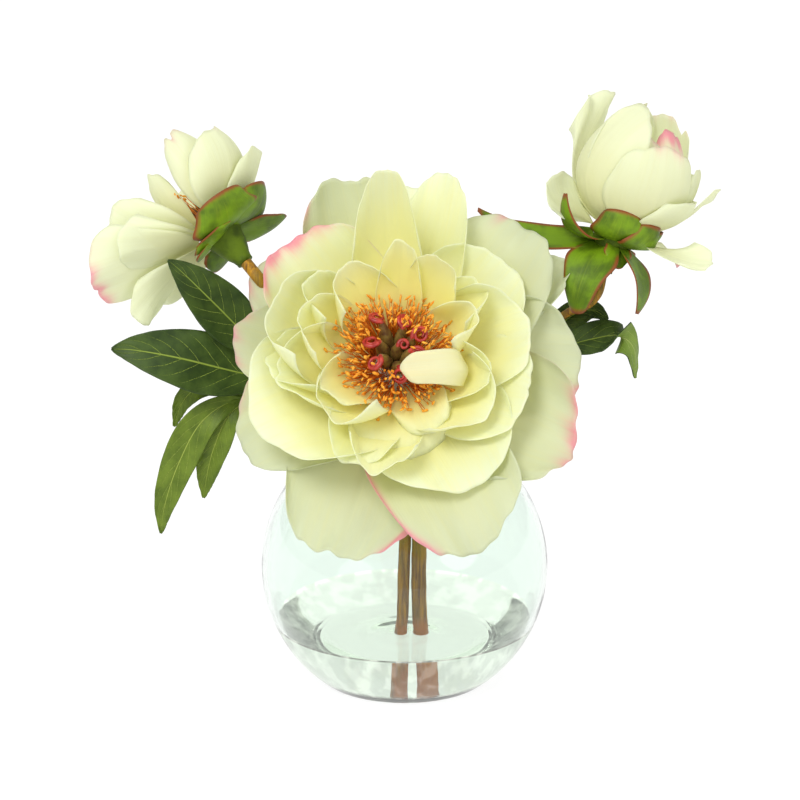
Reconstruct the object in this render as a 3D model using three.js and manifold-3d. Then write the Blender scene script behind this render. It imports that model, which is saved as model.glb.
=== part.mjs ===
// Cream peonies in a round glass vase: one full bloom, one half-open bloom, one bud, leaves, stems and water.
// Millimetres, +Z up, origin at the centre of the vase's flat foot, full bloom facing -Y.
import * as THREE from "three";
import { mergeVertices } from "three/addons/utils/BufferGeometryUtils.js";
import Module from "manifold-3d";

const wasm = await Module();
wasm.setup();

// Clearance that keeps touching pieces apart
const GAP = 0.3;

// Vase and water
const VASE_RADIUS = 60;
const VASE_WALL = 2.2;
const VASE_FLOOR = 4;
const FOOT_RADIUS = 36;
const MOUTH_RADIUS = 35;
const WATER_DEPTH = 21;
const VASE_SIDES = 36;

// Facets from foot to rim: enough that they stray from the round by less than the clearance
const VASE_STEPS = Math.ceil(VASE_RADIUS / 6);
const CENTRE_HEIGHT = Math.sqrt(VASE_RADIUS ** 2 - FOOT_RADIUS ** 2);
const RIM_HEIGHT = CENTRE_HEIGHT + Math.sqrt(VASE_RADIUS ** 2 - MOUTH_RADIUS ** 2);

// A place in the bunch, whose heights are counted from the vase's rim
const above = (x, y, height) => [x, y, RIM_HEIGHT + height];

// The full bloom hangs over the vase's front, this far behind its widest line, so that its lower petals clear the glass
const BLOOM_SETBACK = 34;

// Stems
const LEFT_STEM_RADIUS = 2.5;
const RIGHT_STEM_RADIUS = 3.2;
const BRANCH_RADIUS = 1.7;
const STEM_SIDES = 8;
const STEM_FOOT = VASE_FLOOR + GAP;
const STEM_SPACING = LEFT_STEM_RADIUS + RIGHT_STEM_RADIUS + 2 * GAP;

// Petals, sepals and leaves
const PETAL_THICKNESS = 0.5;
const SEPAL_THICKNESS = 0.7;
const LEAF_THICKNESS = 0.7;
const STALK_HALF = 1.1;
const PETAL_ACROSS = 5;
const PETAL_ALONG = 5;

// Blooms. "azimuth" and "elevation" say where a bloom faces, "lean" opens its lower side and closes its upper one,
// and base, middle and tip are the angles from its axis of the outermost and the innermost petals, in degrees.
// "closest" is the least difference in nesting between two petals that lie on each other.
const FULL_BLOOM = {
  name: "main",
  centre: above(-3.5, BLOOM_SETBACK - VASE_RADIUS, 44.3),
  azimuth: -90,
  elevation: 42,
  receptacle: 11.5,
  neck: 7,
  neckRadius: 4.5,
  longest: 90,
  closest: 0.06,
  lean: 10,
  base: [97, 55],
  middle: [88, 52],
  tip: [92, -5],
};
const HALF_BLOOM = {
  name: "left",
  centre: above(-76, 12, 92.3),
  azimuth: 144,
  elevation: 40,
  receptacle: 9,
  neck: 9,
  neckRadius: 3.6,
  longest: 60,
  closest: 0.08,
  lean: 12,
  base: [95, 45],
  middle: [90, 20],
  tip: [92, -30],
};
const BUD = {
  name: "bud",
  centre: above(86, 8, 91.3),
  azimuth: 38,
  elevation: 69,
  receptacle: 9,
  neck: 7,
  neckRadius: 3.4,
  longest: 60,
  closest: 0.13,
  lean: 4,
  base: [92, 58],
  middle: [95, 45],
  tip: [92, -15],
};

// Petals: the direction round the bloom in degrees, how deep it nests (0 outermost, 1 innermost), its half width
// and its reach in millimetres. "curl" bends the end in over the centre, "swing" carries it round, and "roll" tips
// it about its own middle line, in degrees.
const FULL_BLOOM_PETALS = [
  { name: "guard_petal_1", at: 255, nest: 0.0, half: 32, reach: 84 },
  { name: "guard_petal_2", at: 288, nest: 0.12, half: 30, reach: 87 },
  { name: "guard_petal_3", at: 330, nest: 0.06, half: 29, reach: 80 },
  { name: "guard_petal_4", at: 4, nest: 0.0, half: 26, reach: 77 },
  { name: "guard_petal_5", at: 41, nest: 0.12, half: 28, reach: 81 },
  { name: "guard_petal_6", at: 107, nest: 0.06, half: 25, reach: 84 },
  { name: "guard_petal_7", at: 140, nest: 0.0, half: 25, reach: 73 },
  { name: "guard_petal_8", at: 176, nest: 0.12, half: 22, reach: 67 },
  { name: "guard_petal_9", at: 210, nest: 0.06, half: 25, reach: 70 },
  { name: "middle_petal_1", at: 95, nest: 0.3, half: 16, reach: 80 },
  { name: "middle_petal_2", at: 74, nest: 0.18, half: 16, reach: 80 },
  { name: "middle_petal_3", at: 44, nest: 0.24, half: 26, reach: 67 },
  { name: "middle_petal_4", at: 129, nest: 0.24, half: 24, reach: 68 },
  { name: "middle_petal_5", at: 158, nest: 0.36, half: 24, reach: 60 },
  { name: "middle_petal_6", at: 219, nest: 0.3, half: 31, reach: 67 },
  { name: "middle_petal_7", at: 301, nest: 0.24, half: 31, reach: 66 },
  { name: "middle_petal_8", at: 268, nest: 0.36, half: 13, reach: 58 },
  { name: "middle_petal_9", at: 16, nest: 0.36, half: 22, reach: 58 },
  { name: "middle_petal_10", at: 341, nest: 0.3, half: 24, reach: 61 },
  { name: "inner_petal_1", at: 198, nest: 0.48, half: 20, reach: 54 },
  { name: "inner_petal_2", at: 318, nest: 0.48, half: 20, reach: 52 },
  { name: "inner_petal_3", at: 233, nest: 0.6, half: 19, reach: 49 },
  { name: "inner_petal_4", at: 168, nest: 0.68, half: 18, reach: 50 },
  { name: "inner_petal_5", at: 272, nest: 0.54, half: 19, reach: 40 },
  { name: "inner_petal_6", at: 118, nest: 0.76, half: 16, reach: 48 },
  { name: "inner_petal_7", at: 87, nest: 0.9, half: 10, reach: 57 },
  { name: "inner_petal_8", at: 60, nest: 0.84, half: 11, reach: 56 },
  { name: "inner_petal_9", at: 20, nest: 0.9, half: 13, reach: 46 },
  { name: "inner_petal_10", at: 352, nest: 0.97, half: 11, reach: 45, curl: 25, swing: -50 },
];
const HALF_BLOOM_PETALS = [
  { name: "petal_1", at: 343, nest: 0.24, half: 11, reach: 48 },
  { name: "petal_2", at: 312, nest: 0.08, half: 9, reach: 52 },
  { name: "petal_3", at: 329, nest: 0.16, half: 20, reach: 56 },
  { name: "petal_4", at: 285, nest: 0.0, half: 17, reach: 59 },
  { name: "petal_5", at: 94, nest: 0.42, half: 22, reach: 43 },
  { name: "petal_6", at: 142, nest: 0.56, half: 14, reach: 43 },
  { name: "petal_7", at: 178, nest: 0.88, half: 9, reach: 42 },
  { name: "petal_8", at: 232, nest: 0.72, half: 9, reach: 38 },
];
const BUD_PETALS = [
  { name: "petal_1", at: 212, nest: 0.0, half: 9, reach: 40, roll: -12 },
  { name: "petal_2", at: 236, nest: 0.73, half: 13, reach: 44 },
  { name: "petal_3", at: 48, nest: 0.58, half: 9, reach: 57 },
  { name: "petal_4", at: 180, nest: 0.6, half: 22, reach: 46 },
  { name: "petal_5", at: 105, nest: 0.78, half: 21, reach: 52 },
  { name: "petal_6", at: 278, nest: 0.87, half: 17, reach: 50 },
  { name: "petal_7", at: 335, nest: 0.56, half: 17, reach: 48 },
];

// Sepals: direction round the bloom, angle from its axis at the root and at the tip in degrees, half width, reach,
// and how far the blade twists about its own middle line
const FULL_BLOOM_SEPALS = [
  { at: 20, root: 118, tip: 108, half: 8, reach: 34 },
  { at: 92, root: 118, tip: 104, half: 9, reach: 38 },
  { at: 164, root: 118, tip: 110, half: 8, reach: 33 },
  { at: 236, root: 118, tip: 112, half: 9, reach: 36 },
  { at: 308, root: 118, tip: 110, half: 8, reach: 34 },
];
const HALF_BLOOM_SEPALS = [
  { at: 62, root: 114, tip: 86, half: 12, reach: 25 },
  { at: 118, root: 114, tip: 86, half: 12, reach: 25 },
  { at: 165, root: 118, tip: 104, half: 8, reach: 32 },
  { at: 352, root: 120, tip: 116, half: 6, reach: 18 },
  { at: 250, root: 118, tip: 110, half: 7, reach: 22 },
];
const BUD_SEPALS = [
  { at: 50, root: 112, tip: 96, half: 7, reach: 57, twist: 40 },
  { at: 78, root: 112, tip: 70, half: 8, reach: 30 },
  { at: 110, root: 130, tip: 160, half: 9, reach: 38 },
  { at: 206, root: 128, tip: 146, half: 7, reach: 33 },
  { at: 300, root: 118, tip: 100, half: 7, reach: 26 },
];

const STEM_COLOUR = 0x89713f;
const BARK_COLOUR = 0x7a5a34;
const LEAF_COLOUR = 0x40592a;
const YOUNG_LEAF_COLOUR = 0x7b9a35;
const CALYX_COLOUR = 0x6a8c22;
const PETAL_COLOUR = 0xe4e6b0;
const STAMEN_COLOUR = 0xd9811f;
const CARPEL_COLOUR = 0x8a3a30;

const radians = THREE.MathUtils.degToRad;
const mix = THREE.MathUtils.lerp;
const point = (place) => new THREE.Vector3(...place);

function material(color, roughness) {
  return new THREE.MeshStandardMaterial({ color, roughness, metalness: 0 });
}

function clearMaterial(color, opacity) {
  return new THREE.MeshStandardMaterial({ color, roughness: 0.05, metalness: 0, transparent: true, opacity });
}

function named(name, geometry, finish) {
  const mesh = new THREE.Mesh(geometry, finish);
  mesh.name = name;
  return mesh;
}

// ---- Solids for cuts and joins ----

function solidOf(geometry) {
  const bare = geometry.clone();
  bare.deleteAttribute("normal");
  bare.deleteAttribute("uv");
  const merged = mergeVertices(bare, 1e-4);
  const vertProperties = merged.attributes.position.array;
  const triVerts = new Uint32Array(merged.index.array);
  return new wasm.Manifold(new wasm.Mesh({ numProp: 3, vertProperties, triVerts }));
}

function geometryOf(solid) {
  const mesh = solid.getMesh();
  const geometry = new THREE.BufferGeometry();
  geometry.setAttribute("position", new THREE.BufferAttribute(mesh.vertProperties, 3));
  geometry.setIndex(new THREE.BufferAttribute(mesh.triVerts, 1));
  geometry.computeVertexNormals();
  return geometry;
}

function joined(geometries) {
  return geometryOf(geometries.map(solidOf).reduce((whole, piece) => whole.add(piece)));
}

function cutClearOf(geometry, others) {
  return geometryOf(others.map(solidOf).reduce((whole, other) => whole.subtract(other), solidOf(geometry)));
}

// ---- Thin sheets: a surface(u, v), with u from -1 to 1 across and v from 0 to 1 along, given a thickness ----

function normalOf(surface, u, v) {
  const step = 1e-3;
  const across = surface(u + step, v).sub(surface(u - step, v));
  const along = surface(u, v + step).sub(surface(u, v - step));
  return across.cross(along).normalize();
}

function sheet(surface, across, along, thickness) {
  const columns = across + 1;
  const rows = along + 1;
  const layer = columns * rows;
  const positions = [];
  for (const side of [0.5, -0.5]) {
    for (let j = 0; j < rows; j++) {
      for (let i = 0; i < columns; i++) {
        const u = (2 * i) / across - 1;
        const v = j / along;
        const place = surface(u, v).addScaledVector(normalOf(surface, u, v), side * thickness);
        positions.push(place.x, place.y, place.z);
      }
    }
  }
  const upper = (i, j) => j * columns + i;
  const faces = [];
  const quad = (a, b, c, d) => faces.push(a, b, c, a, c, d);
  for (let j = 0; j < along; j++) {
    for (let i = 0; i < across; i++) {
      // Both faces are split along the same diagonal, so that they never cross where the sheet twists
      const [a, b, c, d] = [upper(i, j), upper(i + 1, j), upper(i + 1, j + 1), upper(i, j + 1)];
      quad(a, b, c, d);
      quad(a + layer, d + layer, c + layer, b + layer);
    }
  }
  const wall = (a, b) => quad(b, a, a + layer, b + layer);
  for (let i = 0; i < across; i++) {
    wall(upper(i, 0), upper(i + 1, 0));
    wall(upper(i + 1, along), upper(i, along));
  }
  for (let j = 0; j < along; j++) {
    wall(upper(across, j), upper(across, j + 1));
    wall(upper(0, j + 1), upper(0, j));
  }
  const geometry = new THREE.BufferGeometry();
  geometry.setAttribute("position", new THREE.Float32BufferAttribute(positions, 3));
  geometry.setIndex(faces);
  geometry.computeVertexNormals();
  return geometry;
}

// ---- Turned shapes: a profile of [radius, height] points, turned about Z ----

function turned(profile, sides) {
  const points = profile.map(([radius, height]) => new THREE.Vector2(radius, height));
  return new THREE.LatheGeometry(points, sides).rotateX(Math.PI / 2);
}

// Points of the circle of this radius about (0, middle), from one height to another
function arc(radius, middle, from, to, steps) {
  const start = Math.asin((from - middle) / radius);
  const end = Math.asin((to - middle) / radius);
  return Array.from({ length: steps + 1 }, (_, i) => {
    const angle = mix(start, end, i / steps);
    return [radius * Math.cos(angle), middle + radius * Math.sin(angle)];
  });
}

// ---- Rods: a round section along a smooth curve ----

function rod(places, radius, sides, steps) {
  const curve = new THREE.CatmullRomCurve3(places.map(point), false, "centripetal");
  const section = Array.from({ length: sides }, (_, i) => {
    const angle = (2 * Math.PI * i) / sides;
    return new THREE.Vector2(radius * Math.cos(angle), radius * Math.sin(angle));
  });
  return new THREE.ExtrudeGeometry(new THREE.Shape(section), { steps, extrudePath: curve });
}

// ---- Blooms: a point of one is given by its distance from the receptacle's centre, its angle from the bloom's
// axis and its direction round it, all in the bloom's own frame, where the axis is +Z ----

function bloomPoint(distance, fromAxis, around) {
  return new THREE.Vector3(
    distance * Math.sin(fromAxis) * Math.cos(around),
    distance * Math.sin(fromAxis) * Math.sin(around),
    distance * Math.cos(fromAxis),
  );
}

function bloomDirection(bloom) {
  const azimuth = radians(bloom.azimuth);
  const elevation = radians(bloom.elevation);
  return new THREE.Vector3(
    Math.cos(elevation) * Math.cos(azimuth),
    Math.cos(elevation) * Math.sin(azimuth),
    Math.sin(elevation),
  );
}

// Where the bloom's neck ends, and a point further down the same line
function neckEnd(bloom, further = 0) {
  const down = bloom.receptacle + bloom.neck + further;
  return point(bloom.centre).addScaledVector(bloomDirection(bloom), -down).toArray();
}

function bloomGroup(bloom) {
  const axis = bloomDirection(bloom);
  const upward = new THREE.Vector3(0, 0, 1).addScaledVector(axis, -axis.z).normalize();
  const sideways = upward.clone().cross(axis);
  const group = new THREE.Group();
  group.position.set(...bloom.centre);
  group.quaternion.setFromRotationMatrix(new THREE.Matrix4().makeBasis(sideways, upward, axis));
  return group;
}

// The petal's angle from the axis: an even bend between its base, middle and tip angles
function opening(bloom, petal, distance, around) {
  const start = bloom.receptacle + GAP;
  const s = (distance - start) / (bloom.longest - start);
  const [base, middle, tip] = [bloom.base, bloom.middle, bloom.tip].map(([outer, inner]) =>
    mix(outer, inner, petal.nest),
  );
  const bend = (1 - s) ** 2 * base + 2 * s * (1 - s) * middle + s ** 2 * tip;
  const share = Math.max(0, distance - start) / (petal.reach - start);
  return radians(bend - bloom.lean * Math.sin(around) * s ** 2 - (petal.curl ?? 0) * share ** 4);
}

// Narrow claw, widest at about 3/4 of its length, with a rounded end
const CLAW = 0.06;
const SPREAD = 0.6;
const ROUNDING = 0.22;

// Petals start clear of the receptacle, and far enough out for two claws of the closest nesting to lie side by side
function clawStart(bloom) {
  const spread = radians(bloom.base[0] - bloom.base[1]);
  return Math.max(bloom.receptacle + GAP + PETAL_THICKNESS, PETAL_THICKNESS / (bloom.closest * spread));
}

function petalGeometry(bloom, petal) {
  const start = clawStart(bloom);
  const middle = radians(petal.at);
  const surface = (u, v) => {
    const reach = petal.reach * (1 - ROUNDING * u * u);
    const distance = mix(start, reach, v);
    const width = petal.half * Math.sin(Math.PI * (CLAW + SPREAD * v));
    const girth = distance * Math.sin(opening(bloom, { ...petal, curl: 0 }, distance, middle));
    const swing = radians(petal.swing ?? 0) * v ** 3;
    const around = middle + swing + (u * width) / girth;
    const roll = radians(petal.roll ?? 0) * u * v;
    return bloomPoint(distance, opening(bloom, petal, distance, around) + roll, around);
  };
  return sheet(surface, PETAL_ACROSS, PETAL_ALONG, PETAL_THICKNESS);
}

// The receptacle with its neck and sepals, which grow as one piece
function calyxGeometry(bloom, sepals) {
  const r = bloom.receptacle;
  const foot = r + bloom.neck;
  const cup = turned(
    [
      [0, -foot],
      [bloom.neckRadius, -foot],
      [bloom.neckRadius * 1.1, -foot + bloom.neck * 0.5],
      ...arc(r, 0, -r * 0.8, r * 0.94, 5),
      [0, r],
    ],
    10,
  );
  const blades = sepals.map((sepal) => {
    const start = r * 0.8;
    const around = radians(sepal.at);
    const twist = radians(sepal.twist ?? 0);
    const surface = (u, v) => {
      const distance = mix(start, sepal.reach, v);
      const width = sepal.half * Math.sin(Math.PI * (0.2 + 0.76 * v));
      const fromAxis = radians(mix(sepal.root, sepal.tip, v * v));
      const round = new THREE.Vector3(-Math.sin(around), Math.cos(around), 0);
      const outward = bloomPoint(1, fromAxis + Math.PI / 2, around);
      return bloomPoint(distance, fromAxis, around)
        .addScaledVector(round, u * width * Math.cos(twist))
        .addScaledVector(outward, u * width * Math.sin(twist));
    };
    return sheet(surface, 2, 5, SEPAL_THICKNESS);
  });
  return joined([cup, ...blades]);
}

// A ring of stamens as one plain solid round the carpels
function stamenGeometry(foot, innerFoot, head, innerHead, rise) {
  return turned(
    [
      [innerFoot, rise[0]],
      [foot, rise[0]],
      [head, rise[1]],
      [head - 3, rise[2]],
      [innerHead, rise[2]],
      [innerFoot, rise[0]],
    ],
    20,
  );
}

// Carpels: tapered horns that grow from one disc
function carpelGeometry(count, disc, floor, length, width, splay) {
  const base = turned([[0, floor], [disc, floor], [disc, floor + 2], [0, floor + 2]], 16);
  const horn = (i) => {
    const around = (2 * Math.PI * i) / count;
    const body = turned(
      [[0, 0], [width, 0], [width * 1.1, length * 0.35], [width * 0.5, length * 0.8], [0, length]],
      8,
    );
    body.rotateX(splay).translate(0, -disc * 0.55, floor + 1).rotateZ(around);
    return body;
  };
  return joined([base, ...Array.from({ length: count }, (_, i) => horn(i))]);
}

// ---- Leaves: a blade folded along its midrib, on a flat stalk, along a smooth curve ----

function leafGeometry({ spine, facing, half, stalk, fold }) {
  const places = spine.map((place) => point(above(...place)));
  const curve = new THREE.CatmullRomCurve3(places, false, "centripetal");
  const front = point(facing).normalize();
  const halfWidth = (v) => {
    const along = Math.max(0, (v - stalk) / (1 - stalk));
    return STALK_HALF * (1 - 0.7 * v) + half * Math.sin(Math.PI * along ** 0.85) ** 0.8;
  };
  const surface = (u, v) => {
    const t = THREE.MathUtils.clamp(v, 0, 1);
    const tangent = curve.getTangent(t);
    const side = tangent.clone().cross(front).normalize();
    const face = side.clone().cross(tangent);
    const width = halfWidth(t);
    return curve
      .getPoint(t)
      .addScaledVector(tangent, (v - t) * curve.getLength())
      .addScaledVector(side, u * width * Math.cos(radians(fold)))
      .addScaledVector(face, Math.abs(u) * width * Math.sin(radians(fold)));
  };
  return sheet(surface, 4, 8, LEAF_THICKNESS);
}

// A blade joined with its side lobes
function lobedLeafGeometry({ lobes = [], ...leaf }) {
  return joined([leaf, ...lobes.map((lobe) => ({ ...leaf, stalk: 0.05, ...lobe }))].map(leafGeometry));
}

// Spines in the bunch, with heights from the vase's rim
const LEAVES = [
  {
    name: "left_leaf_upper",
    spine: [[-38, 17, 31.3], [-52, 12, 39.3], [-64, 6, 48.3], [-78, 1, 64.3], [-90, -4, 78.3], [-96, -6, 84.3]],
    facing: [0.1, -1, 0.45],
    half: 10.5,
    stalk: 0.3,
    fold: 14,
  },
  {
    name: "left_leaf_broad",
    spine: [[-34, 16, 25.3], [-50, 10, 29.3], [-66, 4, 33.3], [-92, -4, 42.3], [-110, -6, 46.3], [-120, -4, 46.3]],
    facing: [0, -1, 0.5],
    half: 12.5,
    stalk: 0.28,
    fold: 10,
  },
  {
    name: "left_leaf_long",
    spine: [[-33, 14, 18.3], [-52, 12, 21.3], [-70, 6, 21.3], [-84, 2, 13.3], [-94, 0, -4.7], [-100, 0, -22.7], [-102, 2, -35.7]],
    facing: [-0.2, -1, 0.1],
    half: 7,
    stalk: 0.34,
    fold: 12,
    lobes: [
      { spine: [[-62, 8, 21.8], [-74, 8, 27.3], [-84, 8, 27.3], [-92, 8, 20.3], [-96, 8, 9.3]], half: 4.5 },
      { spine: [[-64, 8, 21.3], [-73, 4, 15.3], [-79, 2, 2.3], [-82, 3, -8.7], [-84, 4, -20.7]], half: 6 },
    ],
  },
  {
    name: "right_leaf_back",
    spine: [[36, 14, 25.3], [50, 16, 37.3], [64, 16, 50.3], [71, 14, 56.3], [78, 12, 58.3], [84, 9, 55.3]],
    facing: [-0.2, -1, 0.5],
    half: 5.5,
    stalk: 0.5,
    fold: 12,
  },
  {
    name: "right_leaf_front",
    spine: [[40, 10, 20.3], [54, 9, 35.3], [67, 6, 44.3], [78, 4, 48.3], [88, 1, 50.3], [94, -1, 45.3], [95, -2, 33.3]],
    facing: [0.1, -0.8, 0.8],
    half: 6.5,
    stalk: 0.42,
    fold: 10,
  },
];

// ---- Assembly ----

const arrangement = new THREE.Group();
const petalFinish = material(PETAL_COLOUR, 0.6);
const calyxFinish = material(CALYX_COLOUR, 0.55);

// Vase: a round body with a flat foot, an open mouth and a rounded rim
const lip = VASE_WALL / 2;
const innerRadius = VASE_RADIUS - VASE_WALL;
arrangement.add(
  named(
    "glass_vase",
    turned(
      [
        [0, 0],
        ...arc(VASE_RADIUS, CENTRE_HEIGHT, 0, RIM_HEIGHT, VASE_STEPS),
        [MOUTH_RADIUS - lip * 0.6, RIM_HEIGHT + lip],
        [MOUTH_RADIUS - lip * 1.8, RIM_HEIGHT + lip * 0.6],
        ...arc(innerRadius, CENTRE_HEIGHT, VASE_FLOOR, RIM_HEIGHT - lip, VASE_STEPS).reverse(),
        [0, VASE_FLOOR],
      ],
      VASE_SIDES,
    ),
    clearMaterial(0xe8f6ee, 0.3),
  ),
);

// Stems: both stand on the vase's floor. The left one carries the half-open bloom, the right one the full bloom.
const leftStemRoute = [
  [-1.6, 0, STEM_FOOT],
  above(-0.4, 0.5, -56.7),
  above(-1, 4, -11.7),
  above(-8, 11, 11.3),
  above(-28, 17, 35.3),
  above(-50, 15, 59.3),
  neckEnd(HALF_BLOOM, 10),
  neckEnd(HALF_BLOOM, GAP),
];
const rightStemRoute = [
  [STEM_SPACING + 0.7, 0, STEM_FOOT],
  above(STEM_SPACING - 0.3, 0.5, -56.7),
  above(STEM_SPACING + 0.2, 2, -11.7),
  above(5, 4, 8.3),
  neckEnd(FULL_BLOOM, 10),
  neckEnd(FULL_BLOOM, GAP),
];
const branchRoute = [
  above(STEM_SPACING + 0.1, 3, -4.7),
  above(18, 12, 7.3),
  above(44, 20, 31.3),
  above(66, 15, 55.3),
  neckEnd(BUD, 10),
  neckEnd(BUD, GAP),
];
const stemRods = (clearance) => [
  rod(leftStemRoute, LEFT_STEM_RADIUS + clearance, STEM_SIDES, 16),
  rod(rightStemRoute, RIGHT_STEM_RADIUS + clearance, STEM_SIDES, 13),
];
const [leftStem, rightStem] = stemRods(0);
const clearOfStems = stemRods(GAP);
const branch = cutClearOf(rod(branchRoute, BRANCH_RADIUS, 8, 14), clearOfStems);
const clearOfBranch = rod(branchRoute, BRANCH_RADIUS + GAP, 8, 14);
arrangement.add(named("left_stem", leftStem, material(STEM_COLOUR, 0.7)));
arrangement.add(named("right_stem", rightStem, material(STEM_COLOUR, 0.7)));
arrangement.add(named("bud_branch", branch, material(BARK_COLOUR, 0.7)));

// Water: fills the foot of the vase round the stems
const waterLevel = VASE_FLOOR + WATER_DEPTH;
const waterProfile = arc(innerRadius - GAP, CENTRE_HEIGHT, VASE_FLOOR + GAP, waterLevel, 6);
const water = turned([[0, VASE_FLOOR + GAP], ...waterProfile, [0, waterLevel]], VASE_SIDES);
arrangement.add(named("water", cutClearOf(water, clearOfStems), clearMaterial(0xf4faf4, 0.25)));

// Leaves: each stalk stops clear of the stems and the branch
for (const leaf of LEAVES) {
  const blade = cutClearOf(lobedLeafGeometry(leaf), [...clearOfStems, clearOfBranch]);
  const young = leaf.name === "left_leaf_long";
  arrangement.add(named(leaf.name, blade, material(young ? YOUNG_LEAF_COLOUR : LEAF_COLOUR, 0.45)));
}

function addBloom(bloom, petals, sepals, centrePieces = []) {
  const group = bloomGroup(bloom);
  group.add(named(`${bloom.name}_calyx`, calyxGeometry(bloom, sepals), calyxFinish));
  for (const petal of petals) {
    group.add(named(`${bloom.name}_${petal.name}`, petalGeometry(bloom, petal), petalFinish));
  }
  for (const piece of centrePieces) group.add(piece);
  arrangement.add(group);
}

const stamens = (name, geometry) => named(name, geometry, material(STAMEN_COLOUR, 0.7));
addBloom(FULL_BLOOM, FULL_BLOOM_PETALS, FULL_BLOOM_SEPALS, [
  stamens("main_stamens", stamenGeometry(12, 8.5, 22.5, 15, [FULL_BLOOM.receptacle + 2, 22, 26])),
  named("main_carpels", carpelGeometry(7, 7.5, FULL_BLOOM.receptacle + GAP, 17, 3, 0.28), material(CARPEL_COLOUR, 0.5)),
]);
addBloom(HALF_BLOOM, HALF_BLOOM_PETALS, HALF_BLOOM_SEPALS, [
  stamens("left_stamens", stamenGeometry(5, 2, 8, 3, [HALF_BLOOM.receptacle + 1, 18, 21])),
]);
addBloom(BUD, BUD_PETALS, BUD_SEPALS);

export default arrangement;
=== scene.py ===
# %% [markdown]
# # Cream peonies in a round glass vase
#
# A bunch of three peonies stands in a small bowl vase: one wide open, one half open and one in bud, with
# their leaves and two brown stems in shallow water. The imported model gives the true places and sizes. This
# lesson gives each piece its living surface: thin ruffled petals, hundreds of stamens, veined leaves, clear
# glass and water.

import math

import bpy
import numpy as np
from mathutils import Matrix, Vector

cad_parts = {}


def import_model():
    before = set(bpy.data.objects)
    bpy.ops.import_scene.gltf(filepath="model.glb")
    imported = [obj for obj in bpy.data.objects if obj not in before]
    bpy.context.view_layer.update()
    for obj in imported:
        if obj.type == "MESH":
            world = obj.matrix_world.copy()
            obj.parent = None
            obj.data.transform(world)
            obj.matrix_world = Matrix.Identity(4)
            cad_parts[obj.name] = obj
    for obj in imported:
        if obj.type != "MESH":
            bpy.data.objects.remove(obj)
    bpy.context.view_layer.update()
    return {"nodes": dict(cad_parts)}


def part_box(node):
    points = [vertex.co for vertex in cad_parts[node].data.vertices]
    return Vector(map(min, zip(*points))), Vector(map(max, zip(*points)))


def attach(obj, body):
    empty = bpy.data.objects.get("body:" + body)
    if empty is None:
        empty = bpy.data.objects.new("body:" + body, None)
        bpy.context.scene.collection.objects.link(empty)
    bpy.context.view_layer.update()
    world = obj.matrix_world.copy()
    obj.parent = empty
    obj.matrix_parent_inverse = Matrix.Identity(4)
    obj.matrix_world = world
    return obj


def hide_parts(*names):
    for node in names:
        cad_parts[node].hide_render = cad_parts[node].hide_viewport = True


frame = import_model()
MM = 0.001
print("frame:", len(frame["nodes"]), "nodes")

# %% [markdown]
# ## Measures
#
# The vase's own box gives its radius and the height of its rim. Heights in the bunch are counted from that
# rim, as the stems hang on it. All working sizes are in millimetres and turn to metres when a mesh is
# filled in.

# %% Measures from the frame
vase_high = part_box("glass_vase")[1] / MM
VASE_RADIUS = vase_high.y
VASE_WALL = 2.2
VASE_FLOOR = 4.0
FOOT_RADIUS = 36.0
LIP = VASE_WALL / 2
RIM_HEIGHT = vase_high.z - LIP
CENTRE_HEIGHT = math.sqrt(VASE_RADIUS**2 - FOOT_RADIUS**2)
WATER_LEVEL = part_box("water")[1].z / MM
BLOOM_SETBACK = 34.0
print("rim", round(RIM_HEIGHT, 1), "water", round(WATER_LEVEL, 1))


def above(x, y, height):
    """A place whose height is counted from the vase's rim."""
    return (x, y, RIM_HEIGHT + height)


# %% [markdown]
# ## Camera
#
# A long lens a little over a metre away looks slightly down, which keeps the round vase round and the
# blooms from swelling. Its place is in millimetres and its tilt is in degrees from straight down.

# %% Camera
CAMERA_PLACE = (-1.9, -1223.1, 493.9)
CAMERA_TILT = 73.0
CAMERA_LENS = 139.4
camera_data = bpy.data.cameras.new("camera")
camera_data.sensor_width = 36.0
camera_data.lens = CAMERA_LENS
camera = bpy.data.objects.new("camera", camera_data)
camera.location = Vector(CAMERA_PLACE) * MM
camera.rotation_euler = (math.radians(CAMERA_TILT), 0, 0)
bpy.context.scene.collection.objects.link(camera)
bpy.context.scene.camera = camera
print("camera:", CAMERA_LENS, "mm lens,", round(camera.location.length, 2), "m away")

# %% [markdown]
# ## Shader maths as expressions
#
# A pattern is a sum of masks, and masks read best as sums. `Wire` wraps a socket, so `1 - mask * 0.5` adds
# the Math nodes that work it out, and `Finish` adds every other kind of node by its type, settings and
# inputs.


# %% Wires and finishes
class Wire:
    """A node's output that can be added, multiplied and compared like a number."""

    def __init__(self, finish, socket):
        self.finish, self.socket = finish, socket

    def math(self, operation, *others):
        values = {i: value for i, value in enumerate((self, *others))}
        return self.finish.node("ShaderNodeMath", {"operation": operation}, values)

    def __add__(self, other):
        return self.math("ADD", other)

    def __mul__(self, other):
        return self.math("MULTIPLY", other)

    def __sub__(self, other):
        return self.math("SUBTRACT", other)

    def __rsub__(self, other):
        return (self * -1.0) + other

    def __abs__(self):
        return self.math("ABSOLUTE")

    __radd__, __rmul__ = __add__, __mul__

    def smooth(self, low, high):
        """0 below low, 1 above high and a smooth rise between; high may be the lower of the two."""
        settings = {"interpolation_type": "SMOOTHSTEP"}
        if low < high:
            return self.finish.node("ShaderNodeMapRange", settings, {0: self, 1: low, 2: high})
        return 1.0 - self.smooth(high, low)


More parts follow.
